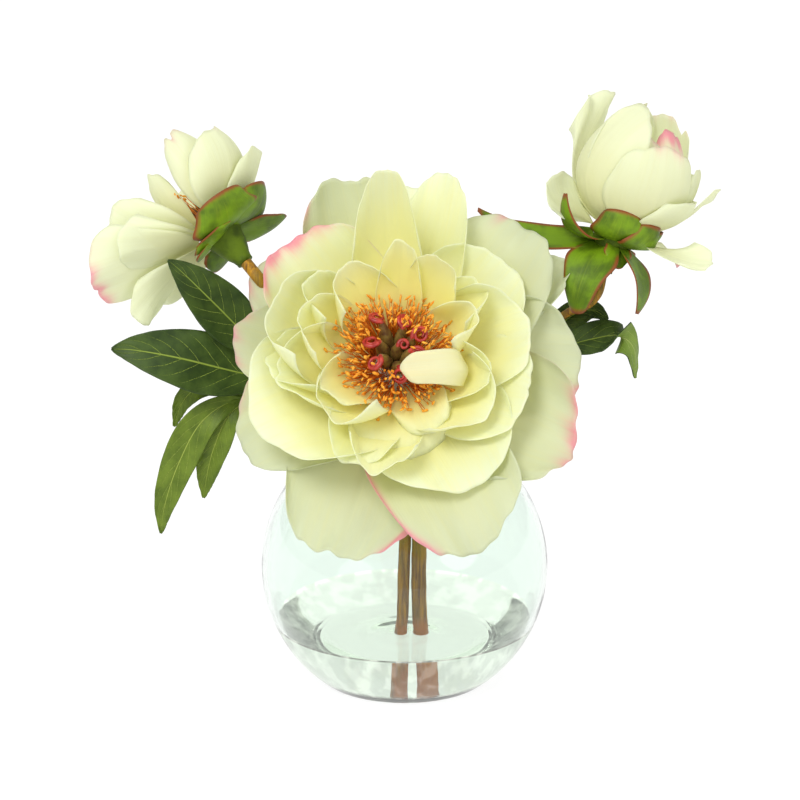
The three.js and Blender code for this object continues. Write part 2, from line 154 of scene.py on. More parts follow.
class Finish:
    """A material under construction."""

    def __init__(self, name):
        self.material = bpy.data.materials.new(name)
        self.material.use_nodes = True
        self.tree = self.material.node_tree
        self.tree.nodes.clear()

    def node(self, kind, settings=None, inputs=None, output=0):
        """Any node, from its type, its settings and the values or links of its sockets."""
        made = self.tree.nodes.new(kind)
        for key, value in (settings or {}).items():
            setattr(made, key, value)
        for key, value in (inputs or {}).items():
            if isinstance(value, Wire):
                self.tree.links.new(value.socket, made.inputs[key])
            else:
                made.inputs[key].default_value = value
        return Wire(self, made.outputs[output]) if made.outputs else None

    def mix(self, share, first, second):
        """Colour first where share is 0 and second where it is 1."""
        colours = [c if isinstance(c, Wire) else (*c, 1.0) for c in (first, second)]
        inputs = {0: share, 6: colours[0], 7: colours[1]}
        return self.node("ShaderNodeMix", {"data_type": "RGBA"}, inputs, 2)

    def attribute(self, name):
        return self.node("ShaderNodeAttribute", {"attribute_name": name}, output=2)

    def place(self):
        return self.node("ShaderNodeTexCoord", output=3)

    def sheet_map(self):
        """The piece's own UV map, which runs across a sheet and then along it."""
        return self.node("ShaderNodeUVMap", {"uv_map": "UVMap"})

    def part_of(self, vector, index):
        return self.node("ShaderNodeSeparateXYZ", inputs={0: vector}, output=index)

    def stretched(self, vector, scale, turn=(0, 0, 0)):
        return self.node("ShaderNodeMapping", inputs={0: vector, 2: turn, 3: scale})

    def noise(self, vector, scale, detail=3.0, roughness=0.5):
        inputs = {"Vector": vector, "Scale": scale, "Detail": detail, "Roughness": roughness}
        return self.node("ShaderNodeTexNoise", inputs=inputs)

    def bump(self, height, strength, distance):
        inputs = {"Height": height, "Strength": strength, "Distance": distance}
        return self.node("ShaderNodeBump", inputs=inputs)

    def principled(self, **inputs):
        """The surface shader; an underscore stands for the space in a socket's name."""
        named = {key.replace("_", " "): value for key, value in inputs.items()}
        return self.node("ShaderNodeBsdfPrincipled", inputs=named)

    def done(self, shader):
        self.node("ShaderNodeOutputMaterial", inputs={"Surface": shader})
        return self.material

    def opaque(self, colour, roughness, relief, specular=0.5):
        inputs = {"Base_Color": colour, "Roughness": roughness, "Normal": relief}
        return self.done(self.principled(**inputs, Specular_IOR_Level=specular))


# %% [markdown]
# ## Petal finish
#
# A petal is thin and waxy. It is cream at its edge and yellow-green towards its claw, and deeper in the bloom
# the yellow-green grows as painted shade for the light trapped between the layers; a few edges blush pink.
# Fine veins fan out along it. Each petal carries two attributes that are painted when it is shaped: `depth`,
# how far down in the bloom a point lies, which sets both the claw colour and the painted shade, and `blush`,
# how pink it is. Light that falls on one side glows through to the other, so a Translucent shader is mixed
# in, and a trace of emission is painted glow for the light that many layers pass on. The guard petals at
# the back have a darker, greener copy of the finish as painted shade, and the two younger flowers are paler.

# %% Petal finish
EDGE_CREAM = (0.83, 0.89, 0.74)
INNER_YELLOW = (0.92, 0.86, 0.34)
BLUSH_PINK = (0.90, 0.27, 0.42)
TRANSLUCENCE = 0.46


def petal_finish(name, edge, inner, glow, painted_glow_strength=0.0):
    """Edge and inner are the colours of the body; glow is the colour of the light that comes through.
    The last argument is the strength of a painted glow, emission in the body's own colour.
    """
    f = Finish(name)
    veins = f.noise(f.stretched(f.sheet_map(), (34, 1.6, 1)), 1.0, 3.0, 0.6)
    cells = f.noise(f.place(), 900.0, 2.0)
    mottle = f.noise(f.place(), 60.0, 2.0)
    # Depth blends the claw's own yellow-green with painted shade deep in the bloom.
    depth = f.attribute("depth") + (mottle - 0.5) * 0.25
    body = f.mix(depth.smooth(0.0, 1.0), edge, inner)
    streaked = f.mix(veins.smooth(0.45, 0.7) * 0.22, body, inner)
    pink = f.attribute("blush") * (veins * 0.9 + 0.5)
    colour = f.mix(pink.smooth(0.05, 1.0), streaked, BLUSH_PINK)
    relief = f.bump(veins + cells * 0.15, 0.35, 0.0006)
    # The emission at the last argument's strength is painted glow that lifts the shade between petals.
    surface = f.principled(
        Base_Color=colour,
        Roughness=veins * 0.1 + 0.5,
        Normal=relief,
        Specular_IOR_Level=0.3,
        Emission_Color=colour,
        Emission_Strength=painted_glow_strength,
    )
    through = f.node("ShaderNodeBsdfTranslucent", inputs={"Color": (*glow, 1.0)})
    return f.done(f.node("ShaderNodeMixShader", inputs={0: TRANSLUCENCE, 1: surface, 2: through}))


petal_material = petal_finish("petal", EDGE_CREAM, INNER_YELLOW, (0.95, 0.95, 0.68), 0.07)
# The guard petals' finish is a darker, greener copy of the petal finish: painted shade.
painted_shade_outer_petal_material = petal_finish("outer_petal_painted_shade", (0.70, 0.75, 0.57), (0.79, 0.76, 0.38), (0.86, 0.88, 0.63))
pale_petal_material = petal_finish(
    "pale_petal", (0.87, 0.90, 0.70), (0.82, 0.80, 0.46), (0.93, 0.95, 0.76), 0.03
)
print("petal finishes:", [m.name for m in bpy.data.materials if "petal" in m.name])

# %% [markdown]
# ## Sheets
#
# A petal, a sepal or a leaf is one thin sheet. It starts as a grid, added with its UV map. Its points then
# follow a surface formula, which a hand could only approach by pulling hundreds of points. Solidify gives
# it a thickness, and the modifier is applied, so the piece is plain mesh at the origin.


# %% Sheets
def deselect():
    bpy.ops.object.select_all(action="DESELECT")


def only(piece):
    deselect()
    piece.select_set(True)
    bpy.context.view_layer.objects.active = piece
    return piece


def get_points(piece):
    """The mesh's points, one row each, in metres."""
    numbers = np.empty(len(piece.data.vertices) * 3, dtype=np.float32)
    piece.data.vertices.foreach_get("co", numbers)
    return numbers.reshape(-1, 3).astype(float)


def set_points(piece, points):
    piece.data.vertices.foreach_set("co", np.ascontiguousarray(points, dtype=np.float32).ravel())
    piece.data.update()


def apply_modifiers(piece):
    only(piece)
    for modifier in list(piece.modifiers):
        bpy.ops.object.modifier_apply(modifier=modifier.name)


def grid_sheet(name, columns, rows, surface, thickness, materials, paint=None):
    """A thin sheet whose point (u, v), from -1 to 1 across and 0 to 1 along, lies at surface(u, v)."""
    deselect()
    bpy.ops.mesh.primitive_grid_add(x_subdivisions=columns, y_subdivisions=rows, size=2, calc_uvs=True)
    piece = bpy.context.object
    piece.name = piece.data.name = name
    flat = get_points(piece)
    u, v = flat[:, 0], (flat[:, 1] + 1) / 2
    set_points(piece, surface(u, v) * MM)
    for label, values in (paint(u, v) if paint else {}).items():
        layer = piece.data.attributes.new(label, "FLOAT", "POINT")
        layer.data.foreach_set("value", np.clip(values, 0, 1).astype(np.float32))
    for material in materials:
        piece.data.materials.append(material)
    wall = piece.modifiers.new("thickness", "SOLIDIFY")
    wall.thickness, wall.offset = thickness * MM, 0.0
    wall.use_quality_normals = True
    if len(materials) > 1:
        wall.material_offset = 1
    apply_modifiers(piece)
    bpy.ops.object.shade_smooth()
    return piece


def keep(piece, slot, *nodes):
    """The piece stands for these solids of the frame and goes with the bunch."""
    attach(piece, "root")
    if nodes:
        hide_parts(*nodes)
    return piece


# %% [markdown]
# ## Blooms
#
# A bloom is laid out like a globe round its receptacle: a point is given by its distance from the centre,
# its angle from the bloom's axis and its direction round it. Outer petals lie back at a wide angle and
# inner ones close over the stamens. A petal's nesting, 0 outermost and 1 innermost, blends the angles of
# those two, so petals follow one another without crossing.


# %% Blooms
class Bloom:
    """A flower's centre, its own axes and the angles at which its petals leave the axis."""

    def __init__(self, label, centre, azimuth, elevation, receptacle, longest, lean, hollow, *angles):
        self.label, self.centre, self.hollow = label, np.array(centre), hollow
        a, e = math.radians(azimuth), math.radians(elevation)
        axis = np.array((math.cos(e) * math.cos(a), math.cos(e) * math.sin(a), math.sin(e)))
        upward = np.array((0, 0, 1.0)) - axis * axis[2]
        upward /= np.linalg.norm(upward)
        self.frame = np.array((np.cross(upward, axis), upward, axis))
        self.receptacle, self.longest, self.lean = receptacle, longest, lean
        self.angles = angles

    def point(self, distance, from_axis, around):
        """Places in the bunch, from distances and angles in radians."""
        local = np.stack(
            np.broadcast_arrays(
                distance * np.sin(from_axis) * np.cos(around),
                distance * np.sin(from_axis) * np.sin(around),
                distance * np.cos(from_axis),
            ),
            axis=-1,
        )
        return local @ self.frame + self.centre

    def opening(self, nest, distance, around):
        """A petal's angle from the axis, in radians."""
        start = self.receptacle + 0.3
        s = (distance - start) / (self.longest - start)
        hollow = nest + self.hollow * nest * (1 - nest) ** 2
        shares = (nest, nest, hollow)
        base, middle, tip = (outer + (inner - outer) * t for (outer, inner), t in zip(self.angles, shares))
        bend = (1 - s) ** 2 * base + 2 * s * (1 - s) * middle + s**2 * tip
        return np.radians(bend - self.lean * np.sin(around) * s**2)


# Degrees from the axis at a petal's base, middle and tip, each for the outermost and the innermost petal
FULL_OPENING = (97, 55), (88, 52), (92, -5)
HALF_OPENING = (95, 45), (90, 20), (92, -30)
BUD_OPENING = (92, 58), (95, 45), (92, -15)
full_centre = above(-3.5, BLOOM_SETBACK - VASE_RADIUS, 44.3)
full_bloom = Bloom("main", full_centre, -90, 42, 11.5, 90, 10, 0.9, *FULL_OPENING)
half_bloom = Bloom("left", above(-76, 12, 92.3), 144, 40, 9, 60, 12, 0.0, *HALF_OPENING)
bud = Bloom("bud", above(86, 8, 91.3), 38, 69, 9, 60, 4, 0.0, *BUD_OPENING)
print("bloom heights:", [round(bloom.centre[2]) for bloom in (full_bloom, half_bloom, bud)], "mm")

# %% [markdown]
# ## Petals
#
# Each petal has a narrow claw, is widest at about three quarters of its length and ends in a rounded,
# ruffled edge. The ruffle is a few waves of different lengths that grow towards the edge, and their phases
# come from a seeded generator, so no two petals match and each run gives the same bloom.

# %% Petal shape
PETAL_THICKNESS = 0.22
CLAW = 0.06
SPREAD = 0.6
ROUNDING = 0.28
ruffles = np.random.default_rng(7)


def petal(bloom, name, at, nest, half, reach, material, packed, **manner):
    """One petal, at this angle round the axis, with its nesting, half width and reach.

    Of its manners, swing, roll, skew, fold, tip and cup bend it by degrees, ruffle, blunt and notch shape
    its edge, deep sets the strength of its depth colour, claw yellow-green plus painted shade, and blush
    colours it.
    """
    start = bloom.receptacle + 0.8
    middle = math.radians(at)
    phase = ruffles.uniform(0, 2 * math.pi, 8)
    size = ruffles.uniform(0.6, 1.4, 4)
    lean = ruffles.uniform(-1, 1, 3)
    ruffle, blunt = manner.get("ruffle", 1.0), manner.get("blunt", 1.0)
    swing, roll = (math.radians(manner.get(key, 0.0)) for key in ("swing", "roll"))
    skew = math.radians(manner.get("skew", 5.0 * lean[0]))
    fold_side, fold_by = manner.get("fold", (1 if lean[1] > 0 else -1, 9.0 * abs(lean[1])))
    tip = manner.get("tip", 5.0 * lean[2])

    def rim(u, v):
        return np.maximum(v**5, np.abs(u) ** 7 * v)

    def surface(u, v):
        # The outline: blunt corners, slow and fine waves, and one notch
        edge = 1 - ROUNDING * blunt * (1 - np.sqrt(1 - 0.95 * u * u))
        edge += 0.014 * size[0] * np.sin(3.5 * u + phase[0]) + 0.009 * size[1] * np.sin(8 * u + phase[1])
        edge += 0.0035 * np.sin(21 * u + phase[6]) * ruffle
        edge -= manner.get("notch", 0.012) * np.exp(-(((u - 0.5 * math.sin(phase[2])) / 0.09) ** 2))
        distance = start + (reach * edge - start) * v
        width = half * np.sin(math.pi * (CLAW + SPREAD * v)) * (1 + 0.03 * np.sin(9 * v + phase[3]) * v)
        girth = distance * np.sin(bloom.opening(nest, distance, middle))
        around = middle + swing * v**3 + skew * v**2 + u * width / girth
        from_axis = bloom.opening(nest, distance, around) + roll * u * v
        # The ruffle: three sizes of wave, in degrees, that grow towards the rim
        wave = 2.6 * size[2] * np.sin(3.0 * u + 2.5 * v + phase[4])
        wave += 1.2 * size[3] * np.sin(7.0 * u + phase[5])
        wave += 0.4 * np.sin(15 * u + 6 * v + phase[7])
        wave = wave * ruffle * rim(u, v) * 26 / (18 + distance * 0.3)
        near_side = np.clip((fold_side * u - 0.35) / 0.65, 0, 1) ** 2 * v
        lift = manner.get("cup", 6.0) * (u * u * v - 0.2) * v + fold_by * near_side - tip * v**6
        crease = 0.5 * np.exp(-((u / 0.05) ** 2)) * np.sin(math.pi * v) ** 2
        return bloom.point(distance, from_axis + np.radians(wave - lift + crease), around)

    def paint(u, v):
        # Depth is the claw's own yellow-green plus painted shade: inner petals, and points away from the rim,
        # come out yellower.
        deep = manner.get("deep", 0.26 + 0.6 * nest)
        depth = deep * (1 - 0.55 * rim(u, v)) + 0.75 * (1 - v) ** 1.5
        centre, spread, strength = manner.get("blush", (0, 1, 0.0))
        window = np.exp(-(((u - centre) / spread) ** 2))
        ragged = 0.75 + 0.25 * np.sin(14 * u + 11 * v + phase[2])
        band = np.maximum(v**13, (np.abs(u) ** 14) * np.clip(v * 1.6, 0, 1))
        return {"depth": depth, "blush": strength * window * ragged * band}

    columns = int(np.clip(half * 1.9, 22, 56))
    rows = int(np.clip(reach * 0.62, 24, 46))
    label = f"{bloom.label}_{name}"
    piece = grid_sheet(f"{label}_ruffled", columns, rows, surface, PETAL_THICKNESS, [material], paint)
    return keep(piece, "petal", *([label] if packed else []))


def whorl(bloom, kind, rows, material, packed=True, young=False):
    """Petals numbered in the order of their rows; a young flower's are calmer and paler."""
    for number, (at, nest, half, reach, manner) in enumerate(rows, 1):
        if young:
            manner = {"deep": 0.12 + 0.22 * nest, "cup": 5.0, "ruffle": 0.8, **manner}
        petal(bloom, f"{kind}_{number}", at, nest, half, reach, material, packed, **manner)
    print(bloom.label, kind, len(rows))


print("petal thickness", PETAL_THICKNESS, "mm")

# %% [markdown]
# ## Full bloom
#
# The open flower has nine wide guard petals at the back, ten middle ones and a crown of narrow inner ones.
# A row for each says where it stands and how it bends, because each one that shows in front has its own
# gesture.

# %% Full bloom petals
# The manner of a petal that stands straight
STILL = {"skew": 0, "fold": (1, 0)}
# Degrees round the axis, nesting, half width, reach and manners
GUARD_PETALS = [
    (255, 0, 32, 84, dict(blush=(0.9, 0.3, 2.8), notch=0.03, tip=-4, cup=3, ruffle=1.8)),
    (288, 0.12, 30, 87, dict(blush=(-0.9, 0.3, 2.6), tip=4, blunt=0.8, ruffle=1.5)),
    (330, 0.06, 31, 81, dict(blush=(0.3, 0.7, 1.3), tip=-3, blunt=0.8, ruffle=1.4)),
    (4, 0, 28, 76, dict(blush=(-0.7, 0.5, 1))),
    (41, 0.12, 30, 80, dict(blush=(0.5, 0.12, 0.9), tip=7, cup=7, fold=(1, 0))),
    (107, 0.06, 25, 82, dict(blush=(0.9, 0.25, 0.9), skew=0)),
    (140, 0, 25, 73, dict(blush=(0.6, 0.6, 0.8))),
    (176, 0.12, 24, 66, dict(blush=(0, 0.8, 0.8))),
    (210, 0.06, 27, 70, dict(blush=(-0.9, 0.5, 0.8))),
]
MIDDLE_PETALS = [
    (95, 0.32, 16, 82, dict(STILL, cup=6, blunt=1.7, tip=0)),
    (74, 0.18, 17, 81, dict(skew=0, tip=5, blunt=1.3)),
    (36, 0.24, 28, 62, dict(blunt=0.7, cup=8, tip=3)),
    (134, 0.24, 29, 68, dict(blush=(0.2, 1, 1.7), blunt=0.6, cup=9, tip=6, skew=0)),
    (160, 0.36, 27, 60, dict(blunt=0.7, cup=9)),
    (212, 0.3, 37, 66, dict(blunt=0.6, cup=8, tip=5, skew=0)),
    (301, 0.24, 34, 65, dict(blunt=0.7, cup=8, tip=4)),
    (263, 0.36, 16, 60, dict(cup=9, skew=0, blunt=0.7)),
    (12, 0.36, 24, 58, dict(fold=(1, 18), blunt=0.7)),
    (341, 0.3, 26, 60, dict(blunt=0.7)),
]
INNER_PETALS = [
    (194, 0.48, 22, 54, dict(fold=(-1, 16), notch=0.05)),
    (318, 0.48, 22, 52, dict(fold=(1, 14), blunt=0.8)),
    (226, 0.6, 18, 49, dict(fold=(1, 12), blunt=0.8)),
    (165, 0.68, 18, 50, dict(blunt=0.7)),
    (268, 0.56, 25, 44, dict(tip=16, blunt=0.7, blush=(0.1, 0.1, 0.5), fold=(1, 0))),
    (118, 0.76, 17, 48, dict(cup=10)),
    (87, 0.9, 10, 57, dict(STILL, cup=3, tip=0, blunt=1.4)),
    (60, 0.84, 12, 55, dict(STILL, cup=4)),
    (18, 0.9, 13, 46, dict(cup=12)),
]
# The guard petals take the darker finish, which is painted shade.
whorl(full_bloom, "guard_petal", GUARD_PETALS, painted_shade_outer_petal_material)
whorl(full_bloom, "middle_petal", MIDDLE_PETALS, petal_material)
whorl(full_bloom, "inner_petal", INNER_PETALS, petal_material)

# %% [markdown]
# One inner petal does not stand in its ring. It leans out, turns back and lies over the stamens like a
# tongue, so it is swept along a Bezier of its own.


# %% Tongue petal
def tongue_petal(bloom, name, knots, width_way, half):
    """A petal swept along four Bezier knots of the bloom's own frame."""
    knots, width_way = np.array(knots, dtype=float), np.array(width_way, dtype=float)
    width_way /= np.linalg.norm(width_way)

    def surface(u, v):
        t = (v * (1 - 0.09 * (1 - np.sqrt(1 - 0.97 * u * u))))[:, None]
        middle = (1 - t) ** 3 * knots[0] + 3 * t * (1 - t) ** 2 * knots[1]
        middle = middle + 3 * t**2 * (1 - t) * knots[2] + t**3 * knots[3]
        width = half * np.sin(math.pi * (0.12 + 0.5 * v)) * (1 + 0.04 * np.sin(11 * v))
        sunk = 4.5 * u * u * (1 - 0.8 * v) - 0.5 * np.sin(5 * u + 4 * v) * v
        hollow = np.array((-0.9, 0.0, -0.5)) * sunk[:, None]
        return (middle + width_way * (u * width)[:, None] + hollow) @ bloom.frame + bloom.centre

    def paint(u, v):
        # Its depth, too, is claw colour plus painted shade.
        return {"depth": 0.35 + 0.6 * (1 - v) ** 1.5, "blush": 0.25 * np.clip(v - 0.3, 0, 1)}

    label = f"{bloom.label}_{name}"
    piece = grid_sheet(f"{label}_ruffled", 24, 44, surface, PETAL_THICKNESS, [petal_material], paint)
    return keep(piece, "petal", label)


TONGUE_KNOTS = [(14, -4, 5), (34, -8, 10), (36, -11, 32), (2, -14, 29)]
tongue = tongue_petal(full_bloom, "inner_petal_10", TONGUE_KNOTS, (-0.1, 0.85, 0.5), 7.0)
print("tongue petal:", len(tongue.data.polygons), "faces")

# %% [markdown]
# ## Filling petals
#
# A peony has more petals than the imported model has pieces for. These stand in the gaps of the rings and
# thicken the crown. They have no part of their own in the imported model, so they replace nothing.

# %% Full bloom petals that fill the rings
FILLING_PETALS = [
    (82, 0.03, 22, 82, {}),
    (186, 0.42, 18, 56, dict(fold=(1, 10))),
    (248, 0.42, 16, 56, dict(fold=(-1, 8))),
    (142, 0.54, 15, 52, dict(fold=(1, 12))),
    (212, 0.8, 13, 42, dict(fold=(-1, 14))),
    (338, 0.62, 14, 47, dict(fold=(1, 16))),
    (38, 0.6, 14, 50, dict(fold=(-1, 12))),
    (296, 0.7, 12, 40, dict(tip=10)),
]
whorl(full_bloom, "fill_petal", FILLING_PETALS, petal_material, packed=False)

# %% [markdown]
# ## Half-open bloom and bud
#
# The two younger flowers are the same kind of globe with smaller, smoother and paler petals that still
# close over their middle. A deep pink petal at the heart of the bud shows between the outer ones.

# %% Half-open bloom and bud petals
HALF_BLOOM_PETALS = [
    (340, 0.22, 12, 46, dict(STILL, roll=-9, blunt=0.8, tip=0)),
    (305, 0, 9, 50, dict(STILL, roll=-6, tip=0)),
    (323, 0.18, 20, 58, dict(STILL, roll=-11, blush=(-0.2, 0.7, 1.8), tip=0)),
    (290, 0.26, 17, 59, dict(roll=-9, blush=(0, 0.9, 0.5), skew=0, tip=0)),
    (92, 0.42, 20, 43, dict(blush=(0.3, 0.5, 0.4), notch=0.05, skew=0)),
    (142, 0.74, 13, 40, dict(blush=(0, 0.8, 0.7))),
    (166, 0.88, 9, 42, dict(blunt=0.8, fold=(1, 0))),
    (232, 0.72, 9, 38, {}),
]
HALF_BLOOM_FILLING = [
    (345, 0.93, 8, 37, dict(skew=0)),
    (325, 0.8, 5, 29, dict(notch=0.08)),
    (268, 0, 11, 54, dict(tip=-26)),
    (118, 0.3, 14, 37, dict(blunt=1.4)),
    (66, 0.58, 12, 45, dict(notch=0.06, skew=0, blush=(0, 0.9, 0.6))),
    (205, 0.4, 14, 44, {}),
    (338, 0.42, 14, 46, dict(roll=-8)),
]
BUD_PETALS = [
    (212, 0, 7, 43, dict(STILL, roll=-9, blunt=1.2)),
    (236, 0.73, 13, 44, {}),
    (12, 0.74, 8, 62, dict(STILL, tip=15, blunt=1)),
    (168, 0.74, 22, 47, dict(tip=0, blunt=1, blush=(0.1, 0.5, 0.7), skew=-8)),
    (82, 0.8, 16, 56, dict(swing=34, blunt=2.2, fold=(-1, 0), skew=0, tip=4)),
    (285, 0.87, 17, 55, dict(blush=(0, 0.9, 0.4), notch=0.05)),
    (335, 0.56, 17, 48, {}),
]
BUD_FILLING = [
    (42, 0.36, 12, 35, dict(roll=17, fold=(1, 0), skew=6)),
    (205, 0.6, 15, 36, dict(blunt=0.7, fold=(1, 0))),
    (233, 0.63, 10, 47, dict(STILL, blunt=1.5, tip=5)),
    (246, 0.02, 8, 31, dict(blush=(0, 0.9, 1.5))),
    (335, 0.86, 15, 55, dict(notch=0.05, blush=(0.2, 0.4, 0.4))),
    (140, 0.9, 12, 44, dict(blush=(0, 0.5, 0.8))),
    (190, 0.95, 15, 48, dict(skew=0, blush=(0, 1.2, 2.4))),
]
for bloom, petals, filling in (
    (half_bloom, HALF_BLOOM_PETALS, HALF_BLOOM_FILLING),
    (bud, BUD_PETALS, BUD_FILLING),
):
    whorl(bloom, "petal", petals, pale_petal_material, young=True)
    whorl(bloom, "fill_petal", filling, pale_petal_material, packed=False, young=True)
# One more guard petal of the full bloom, made last so that its random ruffle changes no other petal
last_manner = {"fold": (1, 0), "tip": -4, "cup": 1, "ruffle": 0.5, "blunt": 1.5}
petal(full_bloom, "fill_petal_9", 33, 0.0, 15, 84, painted_shade_outer_petal_material, False, **last_manner)

# %% [markdown]
# ## Tubes
#
# Stems and the bodies and curled tips of the carpels are all round tubes along a curve. A Bezier curve with
# a bevel gives them, with a radius for each point, and is converted to a mesh.


# %% Tubes
def tube(name, places, radii, material, sides, steps):
    """A round tube through these places, in millimetres, with a radius at each."""
    deselect()
    bpy.ops.curve.primitive_bezier_curve_add()
    piece = bpy.context.object
    piece.name = name
    curve = piece.data
    curve.dimensions, curve.resolution_u = "3D", steps
    curve.bevel_depth, curve.bevel_resolution = MM, sides // 4 - 1
    curve.use_fill_caps = True
    spline = curve.splines[0]
    spline.bezier_points.add(len(places) - 2)
    for knot, place, radius in zip(spline.bezier_points, places, radii):
        knot.co = Vector(place) * MM
        knot.handle_left_type = knot.handle_right_type = "AUTO"
        knot.radius = radius
    only(piece)
    bpy.ops.object.convert(target="MESH")
    piece = bpy.context.object
    piece.name = piece.data.name = name
    piece.data.materials.clear()
    piece.data.materials.append(material)
    bpy.ops.object.shade_smooth_by_angle(angle=math.radians(50))
    return piece


def join(name, pieces):
    only(pieces[0])
    for piece in pieces:
        piece.select_set(True)
    bpy.ops.object.join()
    joined = bpy.context.object
    joined.name = joined.data.name = name
    return joined


# %% [markdown]
# ## Stems
#
# The stems are woody and brown, with fine streaks along them and a redder cut end under water. The left one
# carries the half-open bloom, the right one the full bloom, and the bud's branch grows from the right one
# inside the bunch.


# %% Stem finish
def stem_finish():
    f = Finish("stem_bark")
    place = f.place()
    height = f.part_of(place, 2)
    streaks = f.noise(f.stretched(place, (900, 900, 60)), 1.0, 4.0, 0.65)
    patches = f.noise(f.stretched(place, (150, 150, 40)), 1.0, 2.0)
    bark = f.mix(streaks.smooth(0.3, 0.7), (0.15, 0.060, 0.001), (0.54, 0.26, 0.006))
    bark = f.mix(patches.smooth(0.45, 0.65) * 0.55, bark, (0.22, 0.15, 0.005))
    reddish = height.smooth(0.030, 0.010) * patches.smooth(0.3, 0.5)
    colour = f.mix(reddish * 0.85, bark, (0.72, 0.19, 0.004))
    return f.opaque(colour, streaks * 0.2 + 0.5, f.bump(streaks, 0.6, 0.0005))


stem_material = stem_finish()

# %% Stems
LEFT_STEM_RADIUS = 2.5
RIGHT_STEM_RADIUS = 3.2
BRANCH_RADIUS = 1.7
CUT_END_SWELL = 1.08
STEM_SPACING = LEFT_STEM_RADIUS + RIGHT_STEM_RADIUS + 0.6
STEM_FOOT = VASE_FLOOR + 0.3


def neck_end(bloom, neck, further=0.0):
    """Where a stem meets the neck under a bloom, or a point before that on the bloom's axis."""
    return tuple(bloom.centre - bloom.frame[2] * (bloom.receptacle + neck + further))


left_route = [
    (-1.6, 0, STEM_FOOT),
    (-1.5, 0, STEM_FOOT + 5),
    above(-0.4, 0.5, -56.7),
    above(-1, 4, -11.7),
    above(-8, 11, 11.3),
    above(-28, 17, 35.3),
    above(-50, 15, 59.3),
    neck_end(half_bloom, 9, 10),
    neck_end(half_bloom, 9),
]
right_route = [
    (STEM_SPACING + 0.7, 0, STEM_FOOT),
    (STEM_SPACING + 0.6, 0, STEM_FOOT + 5),
    above(STEM_SPACING - 0.3, 0.5, -56.7),
    above(STEM_SPACING + 0.2, 2, -11.7),
    above(5, 4, 8.3),
    neck_end(full_bloom, 7, 10),
    neck_end(full_bloom, 7),
]
branch_route = [
    above(STEM_SPACING + 0.1, 3, -4.7),
    above(18, 12, 7.3),
    above(44, 20, 31.3),
    above(66, 15, 55.3),
    neck_end(bud, 7, 10),
    neck_end(bud, 7),
]
for name, route, radius in (
    ("left_stem", left_route, LEFT_STEM_RADIUS),
    ("right_stem", right_route, RIGHT_STEM_RADIUS),
    ("bud_branch", branch_route, BRANCH_RADIUS),
):
    radii = [radius * CUT_END_SWELL] + [radius] * (len(route) - 1)
    stem = keep(tube(f"{name}_bark", route, radii, stem_material, sides=20, steps=12), "stem", name)
    print(name, "top at", round(route[-1][2]), "mm,", len(stem.data.polygons), "faces")

# %% [markdown]
# ## Calyxes
#
# Under each bloom the neck swells into a green cup, and its sepals grow from it: blunt, leathery, with a
# thin brown-red rim. Some hang, and the young ones of the bud still clasp its petals. The cup is a sphere
# drawn out below to meet the stem. Its upper faces lie under the petals and take their finish. Each sepal
# is a sheet.


# %% Calyx finish
def sepal_finish():
    f = Finish("sepal")
    uv = f.sheet_map()
    along, side = f.part_of(uv, 1), abs(f.part_of(uv, 0) * 2.0 - 1.0)
    veins = f.noise(f.stretched(uv, (26, 2.0, 1)), 1.0, 3.0, 0.6)
    mottle = f.noise(f.place(), 110.0, 3.0)
    green = f.mix(mottle.smooth(0.35, 0.65), (0.070, 0.130, 0.002), (0.155, 0.275, 0.003))
    green = f.mix(veins.smooth(0.5, 0.75) * 0.35, green, (0.25, 0.34, 0.010))
    rim = (side + (veins - 0.5) * 0.16).smooth(0.80, 0.96) * along.smooth(0.12, 0.28)
    end = (along + (veins - 0.5) * 0.05).smooth(0.93, 0.99)
    colour = f.mix(rim.math("MAXIMUM", end), green, (0.23, 0.06, 0.012))
    return f.opaque(colour, mottle * 0.2 + 0.42, f.bump(veins, 0.4, 0.0005), specular=0.3)


def cup_finish():
    f = Finish("calyx_cup")
    mottle = f.noise(f.place(), 130.0, 4.0)
    colour = f.mix(mottle.smooth(0.35, 0.65), (0.042, 0.072, 0.002), (0.100, 0.160, 0.004))
    return f.opaque(colour, 0.6, f.bump(mottle, 0.3, 0.0006), specular=0.2)


sepal_material = sepal_finish()
cup_material = cup_finish()

# %% Calyxes
SEPAL_THICKNESS = 0.5
CUP_RIM = -0.15


def sepal(bloom, index, at, root, tip, half, reach, twist=0.0, blunt=0.0):
    """A sepal at this angle round the axis whose root and tip leave the axis by these angles."""
    around, turn = math.radians(at), math.radians(twist)
    start = bloom.receptacle * 0.8
    round_way = np.array((-math.sin(around), math.cos(around), 0.0)) @ bloom.frame

    def surface(u, v):
        end = 1 - 0.3 * blunt * (1 - np.sqrt(1 - 0.95 * u * u))
        distance = start + (reach * end - start) * v
        width = half * np.sin(math.pi * (0.2 + (0.76 - 0.2 * blunt) * v))
        width *= 1 + 0.04 * np.sin(12 * v + index)
        from_axis = np.radians(root + (tip - root) * v * v)
        outward = bloom.point(1.0, from_axis + math.pi / 2, around) - bloom.centre
        cupped = -0.12 * half * u * u * np.sin(math.pi * v) + 0.25 * np.sin(7 * v + 3 * u + index)
        middle = bloom.point(distance, from_axis, around)
        side = round_way * math.cos(turn) + outward * math.sin(turn)
        return middle + side * (u * width)[:, None] + outward * cupped[:, None]

    return grid_sheet(f"{bloom.label}_sepal_{index}", 16, 28, surface, SEPAL_THICKNESS, [sepal_material])


